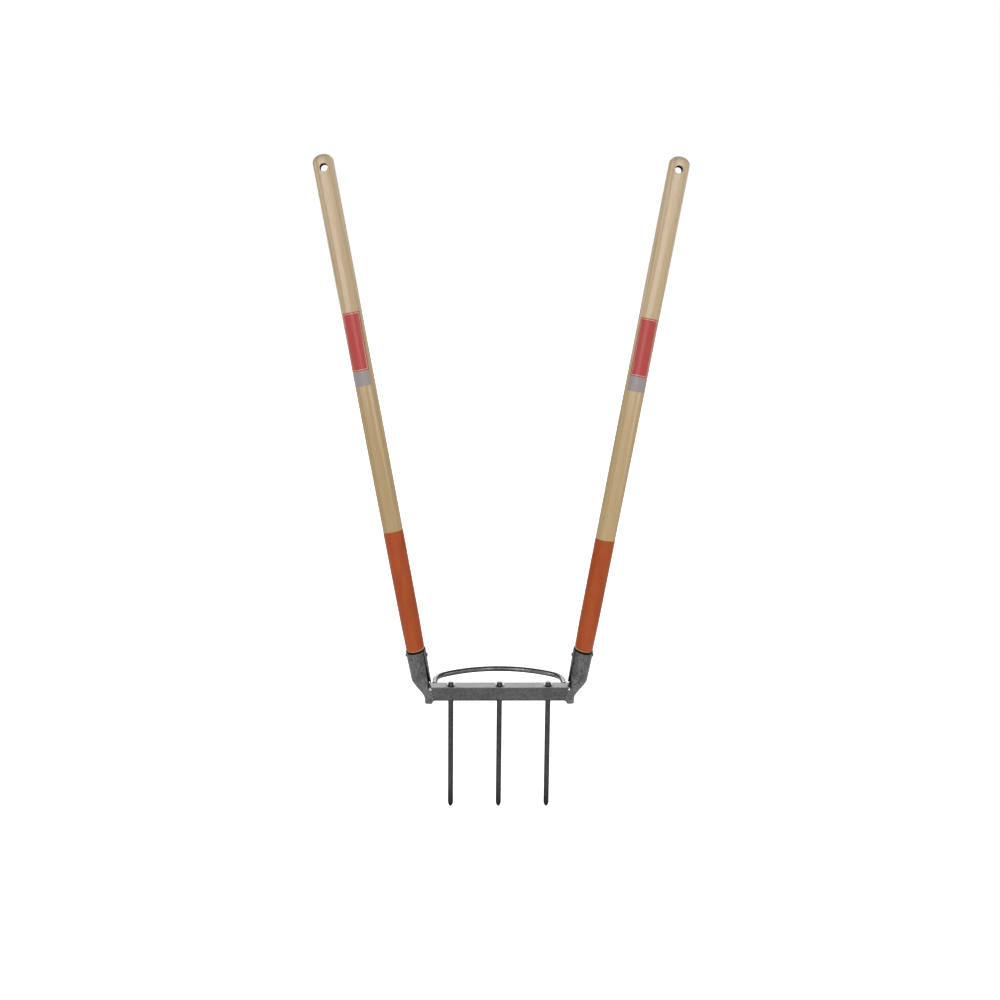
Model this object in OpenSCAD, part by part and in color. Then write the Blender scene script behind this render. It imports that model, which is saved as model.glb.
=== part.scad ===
// Broadfork: a two-handled fork that loosens soil with three straight round tines.
// A square crossbar carries the tines, a bent rod behind it is the heel that the fork is levered on,
// and two rolled sheet sockets at its ends hold ash handles that splay apart and lean back.
// The origin is on the centre tine's axis at the crossbar's underside.
// X runs along the crossbar, Y to the back where the user stands, Z up.

/* [Crossbar] */
// Length of the square crossbar, with its ends inside the sockets
bar_len = 260; // [220:1:320]
// Side of its square section
bar_side = 26; // [22:0.5:32]
// Radius of its long edges
bar_edge_r = 0.75; // [0.5:0.25:3]

/* [Tines] */
// Diameter of a tine
tine_d = 9.5; // [8:0.5:13]
// Distance between neighbouring tine axes
tine_pitch = 88.5; // [60:0.5:100]
// Reach of a tine below the crossbar
tine_len = 214; // [150:1:260]
// Length of a tine's rounded point
tine_point = 10; // [5:0.5:20]
// Stub of a tine above the crossbar
tine_stub = 5.5; // [4:0.25:8]
// Chamfer of a tine's upper end
tine_chamfer = 1.5; // [0.5:0.25:3]
// Width of the weld bead around a tine
tine_bead_w = 1.8; // [1:0.1:3]
// Height of the weld bead around a tine
tine_bead_h = 3.6; // [1:0.1:4]

/* [Fulcrum rod] */
// Diameter of the bent rod
rod_d = 9.5; // [6:0.5:11]
// Reach of the rod's centre line behind the crossbar
rod_reach = 80; // [65:1:100]
// Radius of the rod's long bow
rod_bow_r = 185; // [175:1:220]
// Radius of the bends between the bow and the legs
rod_bend_r = 35; // [25:1:45]
// Angle by which each leg closes in towards the bow
rod_leg_angle = 4; // [1:0.5:10]
// Distance of a leg's centre line from the socket's lip, at the crossbar
rod_foot_in = 8; // [8:0.25:12]
// Width of the weld bead around a leg's foot
rod_bead_w = 1.3; // [0.8:0.1:1.5]
// Length of the weld bead along a leg
rod_bead_len = 3.5; // [2:0.25:6]

/* [Sockets] */
// Thickness of the rolled sheet
sheet = 1.5; // [1.2:0.1:2.5]
// Rise of the mouth above the crossbar's mid-height, along the handle
mouth_rise = 78.5; // [70:0.5:110]
// Dip of the mouth's rim at the front, below its sides
mouth_dip = 3; // [0:0.25:5]
// Width of the open seam at the mouth
seam_gap = 2.2; // [0.8:0.1:3]
// Turn of the seam from the inner side towards the front
seam_turn = 38; // [10:1:50]
// Overlap of the gutter's flanks on the crossbar, along its top edges
grip_top = 2; // [2:0.25:5]
// Overlap of the gutter's flanks on the crossbar, along its bottom edges
grip_low = 10; // [5:0.25:12]
// Reach of the gutter's flanks at their foot, inwards from the crossbar's end
grip_foot = 7; // [3:0.25:10]
// Inner corner radius of the gutter
gutter_corner = 4.2; // [2:0.1:6]
// Drop of the gutter below the crossbar
gutter_drop = 5.5; // [2:0.5:10]
// Height above the gutter's foot at which the gutter begins to swell
swell_lift = 3; // [1:0.5:10]
// Rise above the crossbar at which the socket is fully round
swell_rise = 14; // [8:0.5:20]
// Rise above the crossbar at which the opening has closed to the seam
vee_rise = 26; // [18:0.5:34]
// Leg of the fillet weld along a flank, at the front
front_bead = 3; // [1:0.25:4]
// Leg of the fillet weld along a flank, at the back beside the rod
back_bead = 1.4; // [1:0.1:2]
// Leg of the fillet weld under the crossbar
underside_bead = 2; // [1:0.25:5]

/* [Rivets] */
// Diameter of a rivet's shank
rivet_d = 4.5; // [3:0.25:6]
// Diameter of a rivet's head
rivet_head_d = 7.5; // [6.5:0.25:10]
// Height of a rivet's head
rivet_head_h = 1.8; // [1:0.1:4]
// Distance of the rivet below the mouth
rivet_drop = 9.5; // [9:0.5:20]

/* [Handles] */
// Length of a handle, from its end in the socket to the top of its crown
handle_len = 950; // [800:5:1200]
// Diameter of the straight upper stretch
handle_d = 37.5; // [36:0.5:44]
// Diameter of the wood at the neck
neck_d = 34.9; // [33.5:0.1:36]
// Diameter of the wood at the socket's mouth
mouth_d = 32.8; // [31.5:0.1:33.5]
// Diameter of the wood at the lower end
end_d = 30.6; // [29:0.1:31.5]
// Height of the neck above the mouth
neck_rise = 56; // [30:1:80]
// Height above the mouth at which the straight stretch begins
straight_rise = 420; // [200:5:440]
// Height of the rounded crown
crown_h = 14; // [6:0.5:18]
// Splay of each handle, seen from the front
splay = 10.9; // [4:0.1:16]
// Lean of the handles to the back
lean = 11.6; // [4:0.1:16]
// Distance of a handle's axis outside the crossbar's end, at mid-height
foot_out = 8; // [7:0.25:10]
// Diameter of the hanging hole
hang_hole_d = 14; // [6:0.5:18]
// Distance of the hanging hole below the top
hang_hole_drop = 25; // [20:0.5:60]
// Turn of the hanging hole, by which its front end is nearer the other handle
hang_hole_turn = 5; // [0:1:15]

/* [Lacquer and labels] */
// Thickness of the lacquer on the lower end of a handle
lacquer = 0.3; // [0.1:0.05:0.6]
// Height of the lacquer above the mouth on the left handle
lacquer_rise_left = 219; // [100:1:300]
// Height of the lacquer above the mouth on the right handle
lacquer_rise_right = 204; // [100:1:300]
// Length of a label
label_len = 133; // [60:1:160]
// Width of a label, round the handle
label_w = 35.5; // [15:0.5:50]
// Thickness of a label
label_thick = 0.2; // [0.1:0.05:0.5]
// Turn of the left label's middle from the front to the outside
label_turn_left = 9; // [0:1:40]
// Turn of the right label's middle from the front to the outside
label_turn_right = 0; // [0:1:40]
// Distance of the left label's middle below the handle's top
label_drop_left = 351; // [120:1:400]
// Distance of the right label's middle below the handle's top
label_drop_right = 360; // [120:1:400]

/* [Hidden] */
$fn = 64;

// Room between pieces that seat in each other, room in drilled holes, and overrun of cuts
seat = 0.3;
drill_room = 0.15;
overrun = 1;
// Thickness of the glue under a label
glue = 0.05;

// Facets along an outline's arc, round a socket's section, and along a socket's swell
arc_steps = 12;
wrap_steps = 40;
swell_steps = 16;
// Facets round the rod, along one of its bends, and along its bow
rod_sides = 24;
bend_steps = 10;
bow_steps = 32;

// Shares of a section's path, from a lip, at which the gutter's flank and corner end
flank_share = 0.12;
corner_share = 0.3;
// Shares of the way from a section's middle to its lip between which the swell starts later
early_swell_share = 0.15;
late_swell_share = 0.8;
// Share of a section's path at its middle, on the outer side
middle_share = 0.5;

bar_mid = bar_side / 2;
bar_half = bar_len / 2;
gutter_half_in = bar_mid + seat;
gutter_half_out = gutter_half_in + sheet;
rod_z = bar_side - rod_d / 2;
swell_start = swell_lift - gutter_drop;

// Handle axis: where it crosses the crossbar's mid-height, and its tilt from upright
foot = [bar_half + foot_out, 0, bar_mid];
upright = cos(lean) * cos(splay);
sideways = sqrt(1 - upright * upright);

// Places along a handle's axis, from that crossing
round_z = bar_side + swell_rise;
end_t = (round_z - bar_mid + (end_d / 2 + lacquer) * sideways) / upright + lacquer;
top_t = end_t + handle_len;
crown_t = top_t - crown_h;
rivet_t = mouth_rise - rivet_drop;
wood = [
    [end_t, end_d / 2],
    [mouth_rise, mouth_d / 2],
    [mouth_rise + neck_rise, neck_d / 2],
    [mouth_rise + straight_rise, handle_d / 2],
    [crown_t, handle_d / 2]
];
taper = (mouth_d - end_d) / 2 / (mouth_rise - end_t);

function mix(a, b, share) = a * (1 - share) + b * share;
function ramp(x, low, high) =
    let (s = max(0, min(1, (x - low) / (high - low))))
    s * s * (3 - 2 * s);
function wood_r(t) = lookup(t, wood);
function height_to_t(z) = (z - bar_mid) / upright;
function grip(z) = lookup(z, [[-gutter_drop, grip_foot], [0, grip_low], [bar_side, grip_top]]);
function lip_x(z) = bar_half - grip(z);
function arc(n) = [for (i = [0:n]) 90 * i / n];

// Stations of the handle's outline between two places on its axis, both included
function stations(low, high) =
    concat([low], [for (w = wood) if (w[0] > low && w[0] < high) w[0]], [high]);

// A point of the right handle's frame, whose Z is the handle's axis, in the fork's frame
function on_right(p) =
    let (
        back = p.y * cos(lean) + p.z * sin(lean),
        rise = p.z * cos(lean) - p.y * sin(lean)
    )
    foot + [p.x * cos(splay) + rise * sin(splay), back, rise * cos(splay) - p.x * sin(splay)];

module right_handle_frame() {
    translate(foot)
        rotate([-lean, splay, 0])
            children();
}

module on_left() {
    mirror([1, 0, 0])
        children();
}

// Rounded square in the plane, made of plain squares and discs
module soft_square(side, r) {
    square([side, side - 2 * r], center = true);
    square([side - 2 * r, side], center = true);
    for (x = [-1, 1], y = [-1, 1])
        translate([x, y] * (side / 2 - r))
            circle(r = r);
}

// Solid square crossbar, drilled through for the tines
module crossbar() {
    color("dimgray")
        difference() {
            translate([0, 0, bar_mid])
                rotate([90, 0, 90])
                    linear_extrude(height = bar_len, center = true)
                        soft_square(bar_side, bar_edge_r);
            for (i = [-1:1])
                translate([i * tine_pitch, 0, -overrun])
                    cylinder(d = tine_d + 2 * drill_room, h = bar_side + 2 * overrun);
        }
}

// Straight round tine with an egg-shaped point, turned as one profile
module tine(i) {
    point = [for (a = arc(arc_steps)) [tine_d / 2 * sin(a), -tine_len + tine_point * (1 - cos(a))]];
    stub_z = bar_side + tine_stub;
    color("slategray")
        translate([i * tine_pitch, 0, 0])
            rotate_extrude()
                polygon(concat(point, [
                    [tine_d / 2, stub_z - tine_chamfer],
                    [tine_d / 2 - tine_chamfer, stub_z],
                    [0, stub_z]
                ]));
}

// Rounded weld bead round a tine, on the top and on the underside of the crossbar
module tine_weld(i) {
    bead = [for (a = arc(arc_steps)) [tine_d / 2 + tine_bead_w * cos(a), tine_bead_h * sin(a)]];
    color("gray")
        translate([i * tine_pitch, 0, 0]) {
            translate([0, 0, bar_side])
                rotate_extrude()
                    polygon(concat([[tine_d / 2, 0]], bead));
            rotate_extrude()
                mirror([0, 1])
                    polygon(concat([[tine_d / 2, 0]], bead));
        }
}

// Plan of the rod: a long bow, a bend at each end and straight legs to the crossbar's back face
rod_foot = [lip_x(rod_z) - rod_foot_in, bar_mid];
leg_run = [-sin(rod_leg_angle), cos(rod_leg_angle)];
leg_side = [-cos(rod_leg_angle), -sin(rod_leg_angle)];
bow_centre = [0, bar_mid + rod_reach - rod_bow_r];
bend_from = rod_foot + rod_bend_r * leg_side - bow_centre;
bend_gap = rod_bow_r - rod_bend_r;
leg_len = sqrt((bend_from * leg_run) ^ 2 - bend_from * bend_from + bend_gap ^ 2) - bend_from * leg_run;
bend_centre = bow_centre + bend_from + leg_len * leg_run;
bow_start = atan2(bend_centre.y - bow_centre.y, bend_centre.x - bow_centre.x);

// Half-space in front of the crossbar's back face, that cuts a leg's slanted end flush
module front_of_back_face() {
    size = rod_reach;
    translate([rod_foot.x - size / 2, bar_mid - size, rod_z - size / 2])
        cube(size);
}

// Frame of the right leg, with Z from its foot along the leg
module right_leg_frame() {
    translate([rod_foot.x, rod_foot.y, rod_z])
        rotate([0, 0, rod_leg_angle])
            rotate([-90, 0, 0])
                children();
}

// Stations along the rod, each a point of its plan and the direction of its outer side there
bend_shares = [for (i = [0:bend_steps]) i / bend_steps];
bow_shares = [for (i = [1:bow_steps - 1]) i / bow_steps];
function arc_stations(centre, r, from, to, shares) =
    [for (s = shares) let (a = mix(from, to, s)) [centre + r * [cos(a), sin(a)], a]];
right_bend = arc_stations(bend_centre, rod_bend_r, rod_leg_angle, bow_start, bend_shares);
bow = arc_stations(bow_centre, rod_bow_r, bow_start, 180 - bow_start, bow_shares);
right_half = concat([[rod_foot, rod_leg_angle]], right_bend);
left_half = [
    for (i = [len(right_half) - 1:-1:0])
        [[-right_half[i][0].x, right_half[i][0].y], 180 - right_half[i][1]]
];
rod_stations = concat(right_half, bow, left_half);

// A point of the rod's skin: round its section, and at a foot slid along the leg to the back face
function rod_point(station, turn, is_foot) =
    let (
        out = [cos(station[1]), sin(station[1])],
        along = [-out.y, out.x],
        reach = rod_d / 2 * cos(turn),
        slide = is_foot ? -reach * out.y / along.y : 0,
        p = station[0] + reach * out + slide * along
    )
    [p.x, p.y, rod_z + rod_d / 2 * sin(turn)];

// Round rod bent to a bow, its legs butted on the crossbar's back face, flush with the top
module fulcrum_rod() {
    last = len(rod_stations) - 1;
    points = [
        for (k = [0:last], i = [0:rod_sides - 1])
            rod_point(rod_stations[k], 360 * i / rod_sides, k == 0 || k == last)
    ];
    skin = [
        for (k = [0:last - 1], i = [0:rod_sides - 1])
            let (a = k * rod_sides + i, b = k * rod_sides + (i + 1) % rod_sides)
            each [[a, b, a + rod_sides], [b, b + rod_sides, a + rod_sides]]
    ];
    ends = [
        [for (i = [rod_sides - 1:-1:0]) i],
        [for (i = [0:rod_sides - 1]) last * rod_sides + i]
    ];
    color("darkgray")
        polyhedron(points, concat(skin, ends), convexity = 4);
}

// Weld bead round the foot of the right leg, cut flush with the crossbar's back face
module right_rod_weld() {
    slack = (rod_d / 2 + rod_bead_w) * tan(rod_leg_angle);
    bead = [for (a = arc(arc_steps)) [rod_d / 2 + rod_bead_w * cos(a), rod_bead_len * sin(a)]];
    color("gray")
        difference() {
            right_leg_frame()
                rotate_extrude()
                    polygon(concat([[rod_d / 2, -slack], [rod_d / 2 + rod_bead_w, -slack]], bead));
            front_of_back_face();
        }
}

// Section of the socket at height z, a share q of the way from its front lip to its back lip.
// Low down it is a gutter that grips the crossbar's end, higher up a cone round the handle.
lip_from_axis = foot + (bar_side - bar_mid) / upright
    * [cos(lean) * sin(splay), sin(lean), upright] - [lip_x(bar_side), 0, 0];
vee_front = atan2(gutter_half_out + lip_from_axis.y, lip_from_axis.x);
vee_back = atan2(gutter_half_out - lip_from_axis.y, lip_from_axis.x);
seam_half = seam_gap / 2 / (mouth_d / 2 + lacquer + seat + sheet) * 180 / PI;

function gutter_point(z, q, inset) =
    let (
        side = q < middle_share ? -1 : 1,
        s = min(q, 1 - q),
        half = gutter_half_out - inset,
        r = gutter_corner + sheet - inset,
        turn = 90 * (s - flank_share) / (corner_share - flank_share),
        p = s < flank_share ? [grip(z) * (s / flank_share - 1), half]
            : s < corner_share ? [r * sin(turn), half - r + r * cos(turn)]
            : [r, (half - r) * (middle_share - s) / (middle_share - corner_share)]
    )
    [bar_half + p.x, side * p.y, z];

function socket_r(t) = end_d / 2 + (t - end_t) * taper + lacquer + seat + sheet;

function cone_point(t, a, inset) =
    let (r = (socket_r(t) - inset) / (1 - taper * sin(a) * tan(lean)))
    on_right([r * cos(a), r * sin(a), t + r * sin(a) * tan(lean)]);

function socket_point(z, q, inset) =
    let (
        closed = ramp(z, bar_side, bar_side + vee_rise),
        front = 180 + mix(vee_front, seam_turn + seam_half, closed),
        back = 540 + mix(-vee_back, seam_turn - seam_half, closed),
        late = ramp(abs(2 * q - 1), early_swell_share, late_swell_share),
        swell = ramp(z, mix(swell_start, bar_side + seat, late), round_z)
    )
    mix(gutter_point(z, q, inset), cone_point(height_to_t(z), mix(front, back, q), inset), swell);

// Height of the mouth's rim, which dips at the front
function rim_z(q) =
    let (seam = 180 + seam_turn, turn = seam + mix(seam_half, 360 - seam_half, q))
    bar_mid + mouth_rise * upright + mouth_dip * sin(turn);

// Both sides of the sheet, out along one and back along the other, at the heights of a list
function socket_ring(heights) = concat(
    [for (i = [0:wrap_steps]) socket_point(heights[i], i / wrap_steps, 0)],
    [for (i = [wrap_steps:-1:0]) socket_point(heights[i], i / wrap_steps, sheet)]
);

// Rolled socket: sections joined from the gutter's foot to the mouth, with holes for the rivet
module right_socket() {
    swell = [for (i = [0:swell_steps]) mix(swell_start, bar_side + vee_rise, i / swell_steps)];
    levels = concat([-gutter_drop, 0], [for (z = swell) if (z > 0) z]);
    rim = [for (i = [0:wrap_steps]) rim_z(i / wrap_steps)];
    ring = 2 * (wrap_steps + 1);
    points = concat(
        [for (z = levels) each socket_ring([for (i = [0:wrap_steps]) z])],
        socket_ring(rim)
    );
    last = len(levels) * ring;
    walls = [
        for (k = [0:len(levels) - 1], i = [0:ring - 1])
            let (a = k * ring + i, b = k * ring + (i + 1) % ring)
            each [[a, a + ring, b], [b, a + ring, b + ring]]
    ];
    rims = [
        for (i = [0:wrap_steps - 1])
            let (a = i, b = i + 1, c = ring - 2 - i, d = ring - 1 - i)
            each [[a, b, d], [b, c, d], [last + a, last + d, last + b], [last + b, last + d, last + c]]
    ];
    color("gray")
        difference() {
            polyhedron(points, concat(walls, rims), convexity = 10);
            right_rivet_hole();
        }
}

// Frame of the right rivet, with Z along it: level, so that it crosses the handle at the splay
module right_rivet_frame() {
    translate([0, 0, rivet_t])
        rotate([0, 90 - splay, 0])
            children();
}

// Hole for the rivet, straight through the right socket and handle
module right_rivet_hole() {
    right_handle_frame()
        right_rivet_frame()
            cylinder(d = rivet_d + 2 * drill_room, h = 2 * handle_d, center = true);
}

// Round-headed rivet through the right socket, closed to a like head on the far side.
// Both heads are seated on the socket's cone.
module right_rivet() {
    grip = socket_r(rivet_t) / cos(splay);
    ball_r = (rivet_head_h ^ 2 + (rivet_head_d / 2) ^ 2) / 2 / rivet_head_h;
    rim = asin(rivet_head_d / 2 / ball_r);
    head = [
        for (i = [0:arc_steps])
            let (a = rim * (1 - i / arc_steps))
            [ball_r * sin(a), grip + rivet_head_h - ball_r + ball_r * cos(a)]
    ];
    far = [for (i = [len(head) - 1:-1:0]) [head[i].x, -head[i].y]];
    low = rivet_t - handle_d / 2;
    color("silver")
        right_handle_frame() {
            difference() {
                right_rivet_frame()
                    rotate_extrude()
                        polygon(concat(far, head));
                translate([0, 0, low])
                    cylinder(r1 = socket_r(low), r2 = socket_r(low + handle_d), h = handle_d);
            }
            right_rivet_frame()
                cylinder(d = rivet_d, h = 2 * grip + rivet_head_h, center = true);
        }
}

// Turned ash handle: a tapered end for the socket, a slim neck, a straight grip and a round crown
module right_handle() {
    crown = [for (a = arc(arc_steps)) [handle_d / 2 * cos(a), crown_t + crown_h * sin(a)]];
    outline = concat([[0, end_t]], [for (w = wood) [w[1], w[0]]], [for (i = [1:arc_steps]) crown[i]]);
    color("burlywood")
        difference() {
            right_handle_frame()
                difference() {
                    rotate_extrude()
                        polygon(outline);
                    translate([0, 0, top_t - hang_hole_drop])
                        rotate([90, 0, -hang_hole_turn])
                            cylinder(d = hang_hole_d, h = 2 * handle_d, center = true);
                }
            right_rivet_hole();
        }
}

// Coat of lacquer that the lower end of the right handle was dipped in
module right_lacquer(rise) {
    steps = stations(end_t, mouth_rise + rise);
    inner = [for (t = steps) [wood_r(t), t]];
    outer = [for (i = [len(steps) - 1:-1:0]) [wood_r(steps[i]) + lacquer, steps[i]]];
    floor = [[end_d / 2 + lacquer, end_t - lacquer], [0, end_t - lacquer]];
    color("chocolate")
        difference() {
            right_handle_frame()
                rotate_extrude()
                    polygon(concat([[0, end_t]], inner, outer, floor));
            right_rivet_hole();
        }
}

// Blank paper label, wrapped round part of the right handle
module right_label(drop, turn) {
    low = top_t - drop - label_len / 2;
    steps = stations(low, low + label_len);
    inner = [for (t = steps) [wood_r(t) + glue, t]];
    outer = [for (i = [len(steps) - 1:-1:0]) [wood_r(steps[i]) + glue + label_thick, steps[i]]];
    wrap = label_w / (handle_d / 2) * 180 / PI;
    color("firebrick")
        right_handle_frame()
            rotate([0, 0, turn - 90 - wrap / 2])
                rotate_extrude(angle = wrap)
                    polygon(concat(inner, outer));
}

// Fillet welds of the right socket: along both flanks, and under the crossbar between the flanks
module right_socket_weld() {
    slant = atan((grip_low - grip_top) / bar_side);
    depth = min(underside_bead, gutter_drop);
    color("gray") {
        for (side = [-1, 1])
            translate([lip_x(bar_edge_r), 0, bar_edge_r])
                rotate([0, slant, 0])
                    linear_extrude(height = (bar_side - 2 * bar_edge_r) / cos(slant))
                        polygon([
                            [0, side * bar_mid],
                            [0, side * gutter_half_out],
                            [side < 0 ? -front_bead : -back_bead, side * bar_mid]
                        ]);
        rotate([90, 0, 0])
            linear_extrude(height = 2 * gutter_half_out, center = true)
                polygon([[lip_x(0), 0], [lip_x(-depth), -depth], [lip_x(0) - underside_bead, 0]]);
    }
}

crossbar();
tine(-1);  // tine_left
tine(0);  // tine_centre
tine(1);  // tine_right
fulcrum_rod();
on_left() right_socket();  // socket_left
right_socket();  // socket_right
on_left() right_rivet();  // rivet_left
right_rivet();  // rivet_right
on_left() right_handle();  // handle_left
right_handle();  // handle_right
on_left() right_lacquer(lacquer_rise_left);  // lacquer_left
right_lacquer(lacquer_rise_right);  // lacquer_right
on_left() right_label(label_drop_left, label_turn_left);  // label_left
right_label(label_drop_right, label_turn_right);  // label_right
tine_weld(-1);  // tine_weld_left
tine_weld(0);  // tine_weld_centre
tine_weld(1);  // tine_weld_right
on_left() right_rod_weld();  // rod_weld_left
right_rod_weld();  // rod_weld_right
on_left() right_socket_weld();  // socket_weld_left
right_socket_weld();  // socket_weld_right
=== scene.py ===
import bmesh
import bpy
import numpy as np
from mathutils import Matrix, Vector


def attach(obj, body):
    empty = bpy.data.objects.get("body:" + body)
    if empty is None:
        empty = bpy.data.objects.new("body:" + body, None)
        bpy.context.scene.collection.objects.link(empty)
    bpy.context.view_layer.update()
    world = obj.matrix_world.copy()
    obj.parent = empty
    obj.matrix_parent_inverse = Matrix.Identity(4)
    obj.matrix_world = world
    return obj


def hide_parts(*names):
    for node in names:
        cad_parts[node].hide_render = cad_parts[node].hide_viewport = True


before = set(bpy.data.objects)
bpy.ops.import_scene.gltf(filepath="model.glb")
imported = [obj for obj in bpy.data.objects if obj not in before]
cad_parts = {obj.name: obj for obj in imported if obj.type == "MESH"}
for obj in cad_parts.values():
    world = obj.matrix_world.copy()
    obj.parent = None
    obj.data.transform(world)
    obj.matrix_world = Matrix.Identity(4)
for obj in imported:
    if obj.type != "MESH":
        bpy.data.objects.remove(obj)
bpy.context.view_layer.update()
MM = 0.001

# Camera. A long lens stands well in front of the fork, a little left of its middle and higher
# than its handles, and looks down, so that the top of the crossbar shows.
camera_place = Vector((-106.5, -3390.3, 1384.1)) * MM
look_down, look_right, camera_roll = np.radians((16.54, 1.754, 0.605))
ahead = Vector((
    np.sin(look_right) * np.cos(look_down),
    np.cos(look_right) * np.cos(look_down),
    -np.sin(look_down),
))
level = Vector((np.cos(look_right), -np.sin(look_right), 0))
above = level.cross(ahead)
camera_right = level * np.cos(camera_roll) + above * np.sin(camera_roll)
camera_up = above * np.cos(camera_roll) - level * np.sin(camera_roll)
camera = bpy.data.objects.new("camera", bpy.data.cameras.new("camera"))
camera.data.lens = 72
camera.data.sensor_width = 36
turned = Matrix((camera_right, camera_up, -ahead)).transposed().to_4x4()
camera.matrix_world = Matrix.Translation(camera_place) @ turned
bpy.context.scene.collection.objects.link(camera)
bpy.context.scene.camera = camera


# Crossbar. A length of solid square bar, hot rolled, with soft long edges and a dull grey skin
# of mill scale. It is drilled through for the tines, and its ends sit in the sockets.
bar_side = 26.0
bar_half = 130.0
bar_mid = bar_side / 2
edge_band = (11.6, 12.8)
# low and back shade bands: painted shade along the bar's bottom edges, fainter darkening towards the back
# of its top
low_shade_band = (2.6, 0.9)
back_shade_band = (6.0, 12.5)
# bare_metal_and_highlight: real worn metal on most pieces, a painted highlight along the rod
bare_metal_and_highlight = (0.34, 0.335, 0.33, 1)
# black_scale_and_shade: real scale at the tines' points, painted shade on the bar, the rod and the
# sockets
black_scale_and_shade = (0.012, 0.012, 0.012, 1)


def put(socket, value):
    """Links the socket to the value where that is a socket too, and otherwise sets it."""
    if isinstance(value, bpy.types.NodeSocket):
        socket.id_data.links.new(value, socket)
    else:
        socket.default_value = value


def node(tree, kind, settings=(), **values):
    """Adds a shader node, with its settings as pairs and its inputs by name."""
    made = tree.nodes.new("ShaderNode" + kind)
    for name, value in settings:
        setattr(made, name, value)
    for name, value in values.items():
        put(made.inputs[name.replace("_", " ")], value)
    return made


def maths(tree, operation, *values):
    """The result of a sum on values or sockets."""
    made = node(tree, "Math", [("operation", operation)])
    for socket, value in zip(made.inputs, values):
        put(socket, value)
    return made.outputs[0]


def rise(tree, value, low, high):
    """0 below low, 1 above high, with a soft step between them."""
    made = node(tree, "MapRange", [("interpolation_type", "SMOOTHSTEP")], Value=value)
    put(made.inputs["From Min"], low)
    put(made.inputs["From Max"], high)
    return made.outputs["Result"]


def band(tree, value, places, share=1.0):
    """A soft step from 0 at the first of two places, in millimetres, to a share at the second."""
    low, high = places
    return maths(tree, "MULTIPLY", rise(tree, value, low * MM, high * MM), share)


def parts_of(tree, place):
    """The coordinates X, Y and Z of a place."""
    return node(tree, "SeparateXYZ", Vector=place).outputs


def blend(tree, share, first, second):
    """A colour between two others."""
    made = node(tree, "Mix", [("data_type", "RGBA")])
    for place, value in ((0, share), (6, first), (7, second)):
        put(made.inputs[place], value)
    return made.outputs[2]


def noise(tree, place, scale, detail=3.0, roughness=0.55):
    """Soft noise at that many cells a metre."""
    made = node(tree, "TexNoise", Vector=place, Scale=scale, Detail=detail, Roughness=roughness)
    return made.outputs["Fac"]


def stretched(tree, place, along):
    """Coordinates scaled by a vector, so that a pattern runs along the axis with the small number."""
    return node(tree, "Mapping", Vector=place, Scale=along).outputs["Vector"]


def new_group(name, inputs, outputs):
    """An empty shader group, with the sockets that it takes and gives."""
    tree = bpy.data.node_groups.new(name, "ShaderNodeTree")
    for label, kind in inputs:
        tree.interface.new_socket(label, in_out="INPUT", socket_type="NodeSocket" + kind)
    for label, kind in outputs:
        tree.interface.new_socket(label, in_out="OUTPUT", socket_type="NodeSocket" + kind)
    given = tree.nodes.new("NodeGroupInput").outputs
    wanted = tree.nodes.new("NodeGroupOutput").inputs
    return tree, given, wanted


def rolled_skin():
    """Mill scale: broad grey clouds, blotches of a few millimetres, streaks along the rolling direction
    and a fine grain, with bare bright metal by the wear share, which is real wear on most pieces and a
    painted highlight on the rod, and black by the scale-and-shade share, which is real scale at the
    tines' points and painted shade on the bar, the rod and the sockets."""
    tree, given, wanted = new_group(
        "rolled skin",
        [
            ("Place", "Vector"), ("Lay", "Vector"), ("Dull", "Color"), ("Bright", "Color"),
            ("WearAndHighlight", "Float"), ("Satin", "Float"), ("ScaleAndShade", "Float"),
        ],
        [("Color", "Color"), ("Roughness", "Float"), ("Height", "Float")],
    )
    clouds = rise(tree, noise(tree, given["Place"], 45.0, 5.0), 0.2, 0.8)
    streaks = noise(tree, given["Lay"], 420.0, 3.0)
    grain = noise(tree, given["Place"], 1500.0, 2.0)
    blotches = rise(tree, noise(tree, given["Place"], 260.0, 4.0, 0.7), 0.3, 0.7)
    mixed = maths(tree, "MULTIPLY_ADD", streaks, 0.3, maths(tree, "MULTIPLY", clouds, 0.25))
    mixed = maths(tree, "MULTIPLY_ADD", blotches, 0.45, mixed)
    skin = blend(tree, rise(tree, mixed, 0.15, 0.85), given["Dull"], given["Bright"])
    chips = rise(tree, noise(tree, given["Place"], 330.0, 4.0), 0.35, 0.6)
    bare_and_highlight = maths(tree, "MULTIPLY", given["WearAndHighlight"], maths(tree, "MULTIPLY_ADD", chips, 0.5, 0.5))
    skin = blend(tree, bare_and_highlight, skin, bare_metal_and_highlight)
    put(wanted["Color"], blend(tree, given["ScaleAndShade"], skin, black_scale_and_shade))
    dull = maths(tree, "MULTIPLY_ADD", blotches, 0.14, given["Satin"])
    put(wanted["Roughness"], maths(tree, "SUBTRACT", dull, maths(tree, "MULTIPLY", bare_and_highlight, 0.12)))
    put(wanted["Height"], maths(tree, "ADD", streaks, maths(tree, "MULTIPLY", grain, 0.6)))
    return tree


mill_scale = rolled_skin()


def finish(name, metal, coat=0.0):
    """A material with its tree, its shader and the Object coordinates."""
    material = bpy.data.materials.new(name)
    material.use_nodes = True
    tree = material.node_tree
    shader = tree.nodes["Principled BSDF"]
    shader.inputs["Metallic"].default_value = metal
    shader.inputs["Coat Weight"].default_value = coat
    return material, tree, shader, node(tree, "TexCoord").outputs["Object"]


def bumped(tree, shader, height, depth):
    """Raises the surface by a height, of that depth in metres."""
    bump = node(tree, "Bump", Height=height, Distance=depth, Strength=1.0)
    put(shader.inputs["Normal"], bump.outputs["Normal"])


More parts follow.
